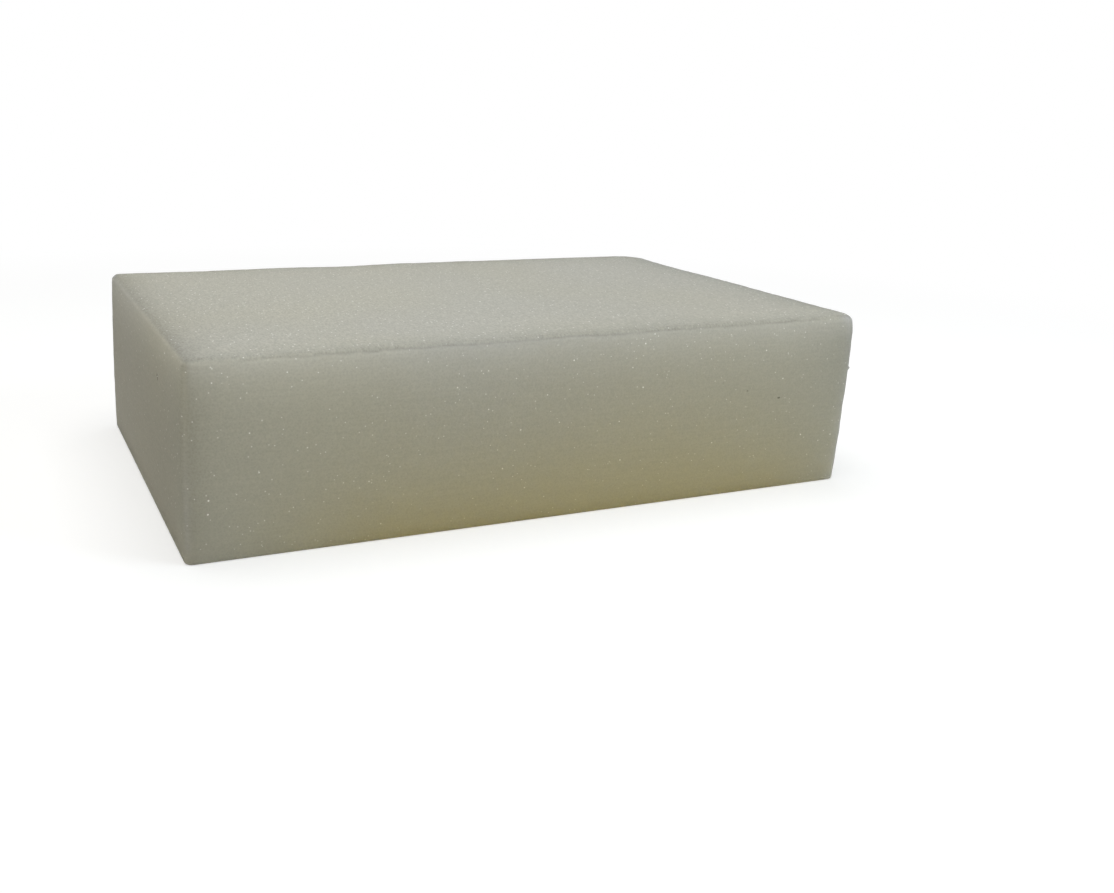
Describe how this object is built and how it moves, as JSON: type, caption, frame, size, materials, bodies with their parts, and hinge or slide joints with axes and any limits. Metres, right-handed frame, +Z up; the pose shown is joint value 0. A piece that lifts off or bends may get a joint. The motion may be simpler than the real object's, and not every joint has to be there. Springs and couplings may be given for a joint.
{
  "type": "cleaning sponge",
  "caption": "Plain rectangular block of pale, fine-celled foam for wiping and washing, with sawn faces and softly worn edges.",
  "frame": {"origin": "middle of the flat underside, at the bottom centre of the bounding box", "axes": "+X along the long front to the right, +Y from the front to the back, +Z up through the thickness"},
  "size_m": [0.2316, 0.151, 0.0601],
  "materials": {
    "foam": "fine open-celled polyurethane foam, dull and slightly translucent, with a sawn surface"
  },
  "bodies": {
    "root": {"sponge": "foam"}
  },
  "joints": []
}
